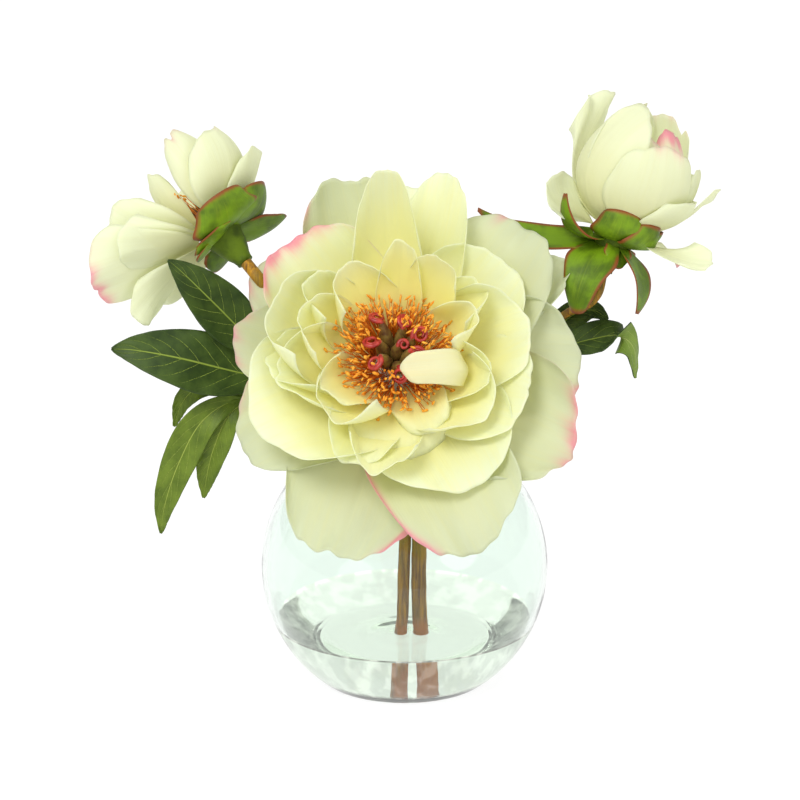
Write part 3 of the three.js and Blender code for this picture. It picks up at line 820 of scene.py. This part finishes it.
def calyx(bloom, neck, neck_radius, sepals):
    """The cup, drawn out below over the neck's length to its radius, with its sepals."""
    r = bloom.receptacle
    deselect()
    bpy.ops.mesh.primitive_uv_sphere_add(segments=32, ring_count=20, radius=r * MM)
    cup = bpy.context.object
    co = get_points(cup) / MM
    below = np.clip((-co[:, 2] / r - 0.55) / 0.45, 0, 1)
    flat = np.hypot(co[:, 0], co[:, 1])
    slim = np.maximum(flat, neck_radius * np.minimum(1, below * 4) * np.minimum(1, flat / (0.12 * r)))
    ratio = np.where(flat > 1e-6, slim / np.maximum(flat, 1e-6), 1.0)[:, None]
    co[:, :2] *= np.where(below[:, None] > 0, ratio, 1.0)
    co[:, 2] -= below * neck
    set_points(cup, (co @ bloom.frame + bloom.centre) * MM)
    cup.data.materials.append(cup_material)
    cup.data.materials.append(petal_material)
    for face in cup.data.polygons:
        height = (np.array(face.center) / MM - bloom.centre) @ bloom.frame[2]
        face.material_index = int(height > CUP_RIM * r)
    only(cup)
    bpy.ops.object.shade_smooth()
    blades = [sepal(bloom, i + 1, *numbers) for i, numbers in enumerate(sepals)]
    return keep(join(f"{bloom.label}_calyx_green", [cup, *blades]), "calyx", f"{bloom.label}_calyx")


# Degrees round the axis, root and tip angle, half width and reach; then twist and bluntness
FULL_SEPALS = [
    (20, 118, 108, 8, 34),
    (92, 118, 104, 9, 38),
    (164, 118, 110, 8, 33),
    (236, 118, 112, 9, 36),
    (308, 118, 110, 8, 34),
]
HALF_SEPALS = [
    (58, 114, 82, 16, 28, 0, 1),
    (115, 114, 84, 15, 27, 0, 1),
    (165, 118, 104, 9, 32, 0, 0.4),
    (350, 120, 112, 8, 20, 0, 1),
    (250, 118, 110, 8, 22, 0, 1),
    (20, 122, 104, 11, 20, 0, 1),
]
BUD_SEPALS = [
    (50, 112, 96, 8, 57, 40),
    (78, 112, 70, 8, 30),
    (110, 130, 158, 11, 38, 0, 0.3),
    (206, 128, 146, 11, 34),
    (300, 118, 100, 7, 26),
    (156, 124, 136, 6, 18, 0, 1),
    (188, 112, 67, 10, 21, 0, 0.8),
    (140, 104, 60, 11, 21, 0, 1),
    (240, 104, 70, 9, 20, 0, 1),
]
# Each with its neck's length and radius
calyx(full_bloom, 7, 4.5, FULL_SEPALS)
calyx(half_bloom, 9, 3.6, HALF_SEPALS)
calyx(bud, 7, 3.4, BUD_SEPALS)
print("sepals:", len(FULL_SEPALS), len(HALF_SEPALS), len(BUD_SEPALS))

# %% [markdown]
# ## Stamens
#
# A stamen is a hair-thin orange filament with a yellow, slightly bent anther. One is modelled with a few
# dozen faces. Its mesh is then copied to hundreds of places by matrix, each with its own length, lean and
# turn.


# %% Stamen finishes
def plain_finish(name, dark, light, scale, roughness):
    f = Finish(name)
    grain = f.noise(f.place(), scale, 3.0)
    colour = f.mix(grain.smooth(0.3, 0.7), dark, light)
    return f.opaque(colour, roughness, f.bump(grain, 0.3, 0.0004))


filament_material = plain_finish("filament", (0.62, 0.11, 0.001), (0.84, 0.24, 0.004), 260.0, 0.5)
anther_material = plain_finish("anther", (0.80, 0.25, 0.004), (0.95, 0.50, 0.05), 420.0, 0.65)


# %% One stamen, and a tuft of them
def model_stamen():
    """A filament one unit long along +Z with an anther of fixed size beyond it, kept apart as two meshes."""
    deselect()
    bpy.ops.mesh.primitive_cone_add(vertices=5, radius1=0.30, radius2=0.16, depth=1, location=(0, 0, 0.5))
    filament = bpy.context.object
    bpy.ops.mesh.primitive_ico_sphere_add(subdivisions=1, radius=1)
    anther = bpy.context.object
    shapes = []
    for part in (filament, anther):
        only(part)
        bpy.ops.object.transform_apply(location=True, rotation=True, scale=True)
        shapes.append((get_points(part), [tuple(face.vertices) for face in part.data.polygons]))
        bpy.data.objects.remove(part)
    return shapes


stamen_shapes = model_stamen()


def tuft(bloom, name, count, foot, lean, lengths, seed, node):
    """Stamens from a ring of the receptacle, foot and lean as (least, most) in millimetres and degrees."""
    rng = np.random.default_rng(seed)
    points, faces, kinds = [], [], []
    (stalk, stalk_faces), (knob, knob_faces) = stamen_shapes
    steps = 4

    def add(local, shape_faces, kind, spin):
        base = sum(len(p) for p in points)
        points.append(local @ spin.T)
        faces.extend(tuple(base + k for k in face) for face in shape_faces)
        kinds.extend([kind] * len(shape_faces))

    for _ in range(count):
        share = math.sqrt(rng.uniform())
        around = rng.uniform(0, 2 * math.pi)
        radius = foot[0] + (foot[1] - foot[0]) * share
        angle = math.radians(lean[0] + (lean[1] - lean[0]) * share + rng.normal(0, 4))
        length = rng.uniform(*lengths)
        root = np.array((radius, 0.0, math.sqrt(max(bloom.receptacle**2 - radius**2, 0)) - 0.4))
        bow = rng.uniform(-0.25, 0.35)
        spin = np.array(Matrix.Rotation(around + rng.normal(0, 0.15), 3, "Z"))
        side_bend = rng.normal(0, 1.2)
        # Three lengths of the same cone along a bent path make one filament
        path = []
        for i in range(steps):
            t = i / (steps - 1)
            a = angle + bow * t
            place = (math.sin(a) * length * t, side_bend * t * t, math.cos(a) * length * t)
            path.append(root + np.array(place))
        for i in range(steps - 1):
            a, b = path[i], path[i + 1]
            way = (b - a) / np.linalg.norm(b - a)
            first = np.cross(way, (0, 1, 0.2))
            first /= np.linalg.norm(first)
            basis = np.array((first, np.cross(way, first), way))
            thin = 1 - 0.18 * i
            local = stalk * (thin, thin, np.linalg.norm(b - a) * 1.02) @ basis + a
            add(local, stalk_faces, 0, spin)
        nod, roll = rng.uniform(0.2, 1.3), rng.uniform(-0.8, 0.8)
        tilt = np.array(Matrix.Rotation(nod, 3, "Y") @ Matrix.Rotation(roll, 3, "X"))
        body = knob * (rng.uniform(0.55, 0.8), rng.uniform(0.35, 0.55), rng.uniform(1.2, 2.0))
        add(body @ tilt.T + path[-1], knob_faces, 1, spin)
    mesh = bpy.data.meshes.new(name)
    world = (np.concatenate(points) @ bloom.frame + bloom.centre) * MM
    mesh.from_pydata(world.tolist(), [], faces)
    mesh.materials.append(filament_material)
    mesh.materials.append(anther_material)
    mesh.polygons.foreach_set("material_index", kinds)
    piece = bpy.data.objects.new(name, mesh)
    bpy.context.scene.collection.objects.link(piece)
    only(piece)
    bpy.ops.object.shade_smooth_by_angle(angle=math.radians(60))
    print(name, count, "stamens,", len(faces), "faces")
    return keep(piece, "stamen", node)


tuft(full_bloom, "main_stamen_tuft", 640, (6.4, 11.4), (8, 56), (12, 20.5), 3, "main_stamens")
tuft(half_bloom, "left_stamen_tuft", 60, (2.0, 6.0), (2, 22), (10, 15), 5, "left_stamens")

# %% [markdown]
# ## Carpels
#
# In the middle stands one carpel with seven round it. Each has a swollen green-brown body, and its stigma
# rolls back in a crimson curl. It is modelled as a tapered tube whose end runs into a spiral. The ring
# repeats it by turning, with another height and lean each time.


# %% Carpel finish
carpel_material = plain_finish("carpel_body", (0.10, 0.035, 0.010), (0.26, 0.17, 0.035), 300.0, 0.45)
curl_material = plain_finish("carpel_curl", (0.26, 0.010, 0.008), (0.55, 0.05, 0.035), 380.0, 0.38)


# %% Carpels
COIL_TILT = math.radians(62)
BODY_RADII = (2.6, 2.9, 2.7, 1.9, 1.1)
COIL_STEPS = 12
CARPEL_HEIGHTS = (15, 13, 16, 14, 15.5, 13, 14.5)


def carpel(bloom, index, around, foot, height, lean, curl_radius, turns):
    """One carpel on the receptacle, leaning out by lean degrees and curling outwards at its tip."""
    a = math.radians(lean)
    way, out = np.array((math.sin(a), 0, math.cos(a))), np.array((math.cos(a), 0, -math.sin(a)))
    coil_way = way * math.cos(COIL_TILT) + np.array((0, math.sin(COIL_TILT), 0))
    root = np.array((foot, 0.0, bloom.receptacle - 2.0))
    spin = np.array(Matrix.Rotation(around, 3, "Z"))

    def world(places):
        return [tuple(np.asarray(p) @ spin.T @ bloom.frame + bloom.centre) for p in places]

    body_places = [root + way * height * t for t in (0, 0.25, 0.55, 0.8, 1.0)]
    body = tube(f"body_{index}", world(body_places), BODY_RADII, carpel_material, sides=16, steps=5)
    top = root + way * height
    spiral = [root + way * height * 0.82]
    radii = [1.3]
    for i in range(COIL_STEPS + 1):
        t = i / COIL_STEPS
        angle = 2 * math.pi * turns * t
        r = curl_radius * (1 - 0.62 * t)
        centre = top + out * curl_radius
        place = centre - out * r * math.cos(angle) + coil_way * r * math.sin(angle) + way * 0.8 * t
        spiral.append(place)
        radii.append(0.95 - 0.55 * t)
    curl = tube(f"curl_{index}", world(spiral), radii, curl_material, sides=12, steps=4)
    return [body, curl]


parts = []
for i, height in enumerate(CARPEL_HEIGHTS):
    around = 2 * math.pi * i / 7 + 0.35
    parts += carpel(full_bloom, i, around, 4.2, height, 10 + 7 * (i % 3), 3.3, turns=1.7)
parts += carpel(full_bloom, 7, 0.0, 0.0, 12.5, 4, 2.2, turns=1.2)
keep(join("main_carpel_ring", parts), "carpel", "main_carpels")
parts = []
for i in range(3):
    parts += carpel(half_bloom, i, 2 * math.pi * i / 3 + 0.9, 2.6, 10, 14, 1.9, turns=1.5)
keep(join("left_carpel_ring", parts), "carpel")
print("carpels:", len(CARPEL_HEIGHTS) + 1, "and", len(parts) // 2)

# %% [markdown]
# ## Leaves
#
# A peony leaf is dark and smooth above and paler below. The midrib and the side veins that arch from it are
# yellow-green. The blade follows a spine: it starts as a grid, folds a little along its midrib and waves
# along its edge. Its veins are in the finish, drawn from its own UV map. One leaf turns over near its end
# and shows its paler side.


# %% Leaf finishes
def leaf_finish(name, dark, light, vein):
    f = Finish(name)
    uv = f.sheet_map()
    along, side = f.part_of(uv, 1), abs(f.part_of(uv, 0) * 2.0 - 1.0)
    mottle = f.noise(f.place(), 120.0, 4.0, 0.6)
    fine = f.noise(f.stretched(uv, (60, 120, 1)), 1.0, 3.0)
    arch = (along - side * 0.16 - side * side * 0.06) * 11.0 + (mottle - 0.5) * 0.35
    wave = abs(arch.math("FRACT") - 0.5)
    side_veins = wave.smooth(0.04, 0.008) * side.smooth(1.0, 0.5) * fine.smooth(0.3, 0.55)
    midrib = side.smooth(0.05, 0.012)
    net = fine.smooth(0.56, 0.66) * 0.25
    blade = f.mix(mottle.smooth(0.3, 0.7), dark, light)
    veins = side_veins.math("MAXIMUM", midrib)
    colour = f.mix((veins * 0.75 + net * 0.4).smooth(0.0, 1.0), blade, vein)
    return f.opaque(colour, mottle * 0.2 + 0.38, f.bump(fine * 0.3 - veins, 0.5, 0.0005), specular=0.28)


upper_leaf = leaf_finish("leaf_upper_side", (0.019, 0.042, 0.005), (0.052, 0.092, 0.012), (0.28, 0.37, 0.05))
under_leaf = leaf_finish("leaf_under_side", (0.12, 0.19, 0.022), (0.20, 0.29, 0.045), (0.36, 0.44, 0.12))
young_leaf = leaf_finish("leaf_young_side", (0.08, 0.13, 0.008), (0.15, 0.22, 0.018), (0.36, 0.44, 0.08))
LEAF_THICKNESS = 0.5


# %% Leaves
def leaf_curve(spine, samples=60):
    """Even steps along a smooth curve through the spine, and the way it runs at each."""
    knots = np.array([above(*place) for place in spine])
    ends = np.vstack((2 * knots[0] - knots[1], knots, 2 * knots[-1] - knots[-2]))
    places = []
    for i in range(len(knots) - 1):
        a, b, c, d = ends[i : i + 4]
        for t in np.linspace(0, 1, 20, endpoint=False):
            place = 2 * b + (c - a) * t + (2 * a - 5 * b + 4 * c - d) * t**2
            places.append(0.5 * (place + (3 * b - a - 3 * c + d) * t**3))
    places = np.array([*places, knots[-1]])
    run = np.concatenate(([0], np.cumsum(np.linalg.norm(np.diff(places, axis=0), axis=1))))
    even = np.linspace(0, run[-1], samples)
    return np.stack([np.interp(even, run, places[:, k]) for k in range(3)], axis=1), run[-1]


def leaf(name, spine, facing, half, stalk, fold, sides, facing_end=None):
    """A leaf along its spine; stalk is the share of it before the blade, fold is in degrees."""
    places, length = leaf_curve(spine)
    ways = np.gradient(places, axis=0)
    ways /= np.linalg.norm(ways, axis=1)[:, None]
    fronts = np.array((facing, facing_end or facing), dtype=float)
    fronts /= np.linalg.norm(fronts, axis=1)[:, None]
    marks = np.linspace(0, 1, len(places))

    def at(values, v):
        return np.stack([np.interp(v, marks, values[:, k]) for k in range(3)], axis=1)

    def surface(u, v):
        way = at(ways, v)
        way /= np.linalg.norm(way, axis=1)[:, None]
        turned = np.clip((v - 0.66) / 0.12, 0, 1)[:, None]
        side = np.cross(way, fronts[0] * (1 - turned) + fronts[1] * turned)
        side /= np.linalg.norm(side, axis=1)[:, None]
        face = np.cross(side, way)
        share = np.clip((v - stalk) / (1 - stalk), 0, 1)
        width = 1.1 * (1 - 0.7 * v) + half * np.sin(math.pi * share**0.85) ** 0.8
        turn = math.radians(fold)
        ripple = 0.9 * np.sin(15 * share + 2 * u) * u * u * np.sin(math.pi * share)
        quilt = 0.25 * np.sin(2 * math.pi * (11 * v - 1.8 * np.abs(u))) * np.abs(u) * share
        across = (u * width * math.cos(turn))[:, None] * side
        return at(places, v) + across + (np.abs(u) * width * math.sin(turn) + ripple + quilt)[:, None] * face

    return grid_sheet(name, 24, 64, surface, LEAF_THICKNESS, sides)


# Spine, the way the blade faces, half width, the stalk's share and the fold
LEAVES = {
    "left_leaf_upper": (
        [(-38, 17, 31.3), (-52, 12, 39.3), (-64, 6, 48.3), (-78, 1, 64.3), (-90, -4, 78.3), (-96, -6, 84.3)],
        (0.1, -1, 0.45), 10.5, 0.3, 14,
    ),
    "left_leaf_broad": (
        [
            (-34, 16, 25.3), (-50, 10, 29.3), (-66, 4, 33.3),
            (-92, -4, 42.3), (-110, -6, 46.3), (-120, -4, 46.3),
        ],
        (0, -1, 0.5), 12.5, 0.28, 10,
    ),
    "right_leaf_back": (
        [(36, 14, 25.3), (50, 16, 37.3), (64, 16, 50.3), (71, 14, 56.3), (78, 12, 58.3), (84, 9, 55.3)],
        (-0.2, -1, 0.5), 5.5, 0.5, 12,
    ),
    "right_leaf_front": (
        [
            (40, 10, 20.3), (54, 9, 35.3), (67, 6, 44.3), (78, 4, 48.3),
            (88, 1, 50.3), (94, -1, 45.3), (95, -2, 33.3),
        ],
        (0.1, -0.8, 0.8), 7.5, 0.42, 10,
    ),
}
ENDS_FACING = {"right_leaf_front": (-0.9, 0.6, 0.2)}
for name, shape in LEAVES.items():
    end = ENDS_FACING.get(name)
    blade = keep(leaf(f"{name}_blade", *shape, [upper_leaf, under_leaf], facing_end=end), "leaf", name)
    print(blade.name, round(blade.dimensions.length / MM), "mm corner to corner")

# The long leaf is three narrow lobes on one stalk: spine, half width and the stalk's share
LOBES = {
    "long_blade": (
        [
            (-33, 14, 18.3), (-52, 12, 21.3), (-70, 6, 21.3), (-84, 2, 13.3),
            (-94, 0, -4.7), (-100, 0, -22.7), (-102, 2, -35.7),
        ],
        7, 0.34,
    ),
    "lobe_1": ([(-62, 8, 21.8), (-74, 8, 27.3), (-84, 8, 27.3), (-92, 8, 20.3), (-96, 8, 9.3)], 4.5, 0.05),
    "lobe_2": ([(-64, 8, 21.3), (-73, 4, 15.3), (-79, 2, 2.3), (-82, 3, -8.7), (-84, 4, -20.7)], 6, 0.05),
}
blades = []
for name, (spine, half, stalk) in LOBES.items():
    blades.append(leaf(name, spine, (-0.2, -1, 0.1), half, stalk, 12, [young_leaf, under_leaf]))
keep(join("left_leaf_long_blade", blades), "leaf", "left_leaf_long")
print("leaves:", len(LEAVES), "and one of", len(LOBES), "lobes")

# %% [markdown]
# ## Vase
#
# The vase is a blown sphere with a flat foot and an open mouth. A sphere is cut at the foot and at the rim.
# The foot gets rings by insets, which are lifted into a shallow hollow with a faint wave. The wall is given
# inwards, the inside of the floor is raised, as glass gathers there, and the rim is rounded by a bevel.
#
# Glass and water share one finish with their own index and tint. A clear object in a bright room shows
# little but its edges, so soft waves in the surface bend what lies behind. The water glows faintly all
# through as painted light, and its side carries painted bright glint streaks for the light that the round
# glass gathers there.


# %% Glass and water finishes
PAINTED_GLINT_BAND = (0.0565, 0.0575)


def clear_finish(name, ior, tint, glow=0.0):
    """Glow is the strength of painted light: a faint glow all through, and bright glint streaks on the side
    wall, the part furthest from the ball's middle.
    """
    f = Finish(name)
    waves = f.noise(f.place(), 45.0, 2.0)
    streaks = f.noise(f.stretched(f.place(), (190, 190, 40)), 1.0, 2.0)
    middle = (0, 0, CENTRE_HEIGHT * MM)
    from_middle = f.node("ShaderNodeVectorMath", {"operation": "DISTANCE"}, {0: f.place(), 1: middle}, 1)
    # Painted light: a faint grey glow inside, and bright glint streaks on the side wall.
    painted_glint_colour = f.mix(streaks.smooth(0.45, 0.6), (0.6, 0.6, 0.58), (3.2, 3.2, 3.0))
    painted_glint_emission = f.mix(from_middle.smooth(*PAINTED_GLINT_BAND), (0.35, 0.35, 0.33), painted_glint_colour)
    return f.done(
        f.principled(
            Base_Color=(*tint, 1),
            Roughness=0.0,
            IOR=ior,
            Transmission_Weight=1.0,
            Emission_Color=painted_glint_emission,
            Emission_Strength=glow,
            Normal=f.bump(waves, 0.25, 0.0008),
        )
    )


glass_material = clear_finish("clear_glass", 1.46, (0.905, 0.975, 0.925))
# Only the water carries the painted glow and glint streaks.
water_material = clear_finish("water_with_painted_glow", 1.333, (1.0, 1.0, 0.95), 0.05)


# %% Vase
PUNT_RADIUS = 26.0
PUNT_DEPTH = 1.6
RING_HEIGHT = 0.16
FIRST_INSET, RING_STEP, RING_COUNT = 9.0, 1.3, 20


def cut_ball(name, radius, low, high, closed):
    """A ball about the vase's middle, closed at its low end and, if it should be, at its high end."""
    deselect()
    bpy.ops.mesh.primitive_uv_sphere_add(segments=144, ring_count=96, radius=radius * MM)
    piece = only(bpy.context.object)
    piece.name = piece.data.name = name
    set_points(piece, get_points(piece) + (0, 0, CENTRE_HEIGHT * MM))
    bpy.ops.object.mode_set(mode="EDIT")
    for height, fill, above_it in ((low, True, True), (high, closed, False)):
        bpy.ops.mesh.select_all(action="SELECT")
        bpy.ops.mesh.bisect(
            plane_co=(0, 0, height * MM),
            plane_no=(0, 0, 1),
            use_fill=fill,
            clear_inner=above_it,
            clear_outer=not above_it,
        )
    bpy.ops.object.mode_set(mode="OBJECT")
    return piece


def pick_faces(piece, wanted):
    """Go into edit mode with just the wanted faces selected."""
    only(piece)
    bpy.ops.object.mode_set(mode="EDIT")
    bpy.ops.mesh.select_mode(type="FACE")
    bpy.ops.mesh.select_all(action="DESELECT")
    bpy.ops.object.mode_set(mode="OBJECT")
    for face in piece.data.polygons:
        face.select = wanted(face)
    bpy.ops.object.mode_set(mode="EDIT")


def ring_the_foot(vase):
    """Rings on the foot, pushed up into the shallow hollow that keeps a blown vase steady."""
    pick_faces(vase, lambda face: face.normal.z < -0.9 and face.center.z < 0.1 * MM)
    for step in range(RING_COUNT):
        bpy.ops.mesh.inset(thickness=(RING_STEP if step else FIRST_INSET) * MM, depth=0)
    bpy.ops.object.mode_set(mode="OBJECT")
    points = get_points(vase) / MM
    spread = np.hypot(points[:, 0], points[:, 1])
    low = (points[:, 2] < 0.1) & (spread < PUNT_RADIUS)
    share = spread[low] / PUNT_RADIUS
    hollow = PUNT_DEPTH * 0.5 * (1 + np.cos(math.pi * share))
    rings = RING_HEIGHT * (1 - np.cos(6 * math.pi * share)) * (1 - share)
    points[low, 2] = hollow + rings
    set_points(vase, points * MM)


def model_vase():
    vase = cut_ball("vase_blown_glass", VASE_RADIUS, 0.0, RIM_HEIGHT, closed=False)
    ring_the_foot(vase)
    wall = vase.modifiers.new("wall", "SOLIDIFY")
    wall.thickness, wall.offset = VASE_WALL * MM, -1.0
    apply_modifiers(vase)
    points = get_points(vase) / MM
    spread = np.hypot(points[:, 0], points[:, 1])
    inner = np.hypot(spread, points[:, 2] - CENTRE_HEIGHT) < VASE_RADIUS - VASE_WALL * 0.5
    sunk = inner & (points[:, 2] < VASE_FLOOR) & (points[:, 2] > PUNT_DEPTH + 0.3)
    points[sunk, 2] = VASE_FLOOR
    set_points(vase, points * MM)
    rim = vase.modifiers.new("rim", "BEVEL")
    rim.width, rim.segments, rim.limit_method = 0.8 * MM, 3, "ANGLE"
    rim.angle_limit = math.radians(60)
    apply_modifiers(vase)
    vase.data.materials.append(glass_material)
    bpy.ops.object.shade_smooth_by_angle(angle=math.radians(40))
    print("vase:", len(vase.data.polygons), "faces, mouth at", round(RIM_HEIGHT, 1), "mm")
    return keep(vase, "glass", "glass_vase")


model_vase()

# %% [markdown]
# ## Water
#
# The water fills the foot of the vase. It reaches a little into the glass, so that light passes straight
# from one to the other, and climbs the wall in a narrow meniscus.


# %% Water
INTO_GLASS = 0.15
MENISCUS = 1.2
# Inset and drop of each ring from the wall to the level
MENISCUS_RINGS = ((0.5, 0.65), (0.7, 0.35), (1.0, 0.15), (1.5, 0.05))


def model_water():
    radius = VASE_RADIUS - VASE_WALL + INTO_GLASS
    top = WATER_LEVEL + MENISCUS
    water = cut_ball("water_still", radius, VASE_FLOOR - INTO_GLASS, top, closed=True)
    pick_faces(water, lambda face: face.center.z > (top - 0.1) * MM)
    for width, drop in MENISCUS_RINGS:
        bpy.ops.mesh.inset(thickness=width * MM, depth=0)
        bpy.ops.transform.translate(value=(0, 0, -drop * MM))
    bpy.ops.object.mode_set(mode="OBJECT")
    water.data.materials.append(water_material)
    bpy.ops.object.shade_smooth_by_angle(angle=math.radians(35))
    print("water surface radius", round(math.sqrt(radius**2 - (top - CENTRE_HEIGHT) ** 2), 1))
    return keep(water, "water", "water")


model_water()

# %% [markdown]
# ## Floor and light
#
# A white table and soft light from above and the left, with a bright surround, keep the shadows open
# between the petals and the glass clear.


# %% Floor and light
FLOOR_SIZE = 40
FLOOR_DROP = 0.3
SURROUND_STRENGTH = 0.74
LIT_PLACE = Vector((0, 0, 0.13))


def floor_finish():
    f = Finish("white_floor")
    grey, white = (0.16, 0.16, 0.16, 1), (1, 1, 1, 1)
    return f.done(
        f.principled(Base_Color=grey, Roughness=0.8, Emission_Color=white, Emission_Strength=0.9)
    )


deselect()
bpy.ops.mesh.primitive_plane_add(size=FLOOR_SIZE, location=(0, 0, -FLOOR_DROP * MM))
floor = bpy.context.object
floor.name = "floor"
floor.data.materials.append(floor_finish())

world = bpy.data.worlds.new("bright_surround")
world.use_nodes = True
surround = world.node_tree.nodes["Background"]
surround.inputs["Color"].default_value = (1.0, 1.0, 1.0, 1.0)
surround.inputs["Strength"].default_value = SURROUND_STRENGTH
bpy.context.scene.world = world
bpy.context.scene.view_settings.view_transform = "Standard"


def soft_light(name, place, size, power):
    data = bpy.data.lights.new(name, "AREA")
    data.shape, data.size, data.energy = "DISK", size, power
    light = bpy.data.objects.new(name, data)
    light.location = place
    light.rotation_euler = (LIT_PLACE - Vector(place)).to_track_quat("-Z", "Y").to_euler()
    bpy.context.scene.collection.objects.link(light)


soft_light("key_light", (-0.5, -1.0, 1.2), 0.7, 13.0)
soft_light("fill_light", (0.9, -0.8, 0.7), 0.9, 3.0)
print("lights:", [light.name for light in bpy.data.lights])
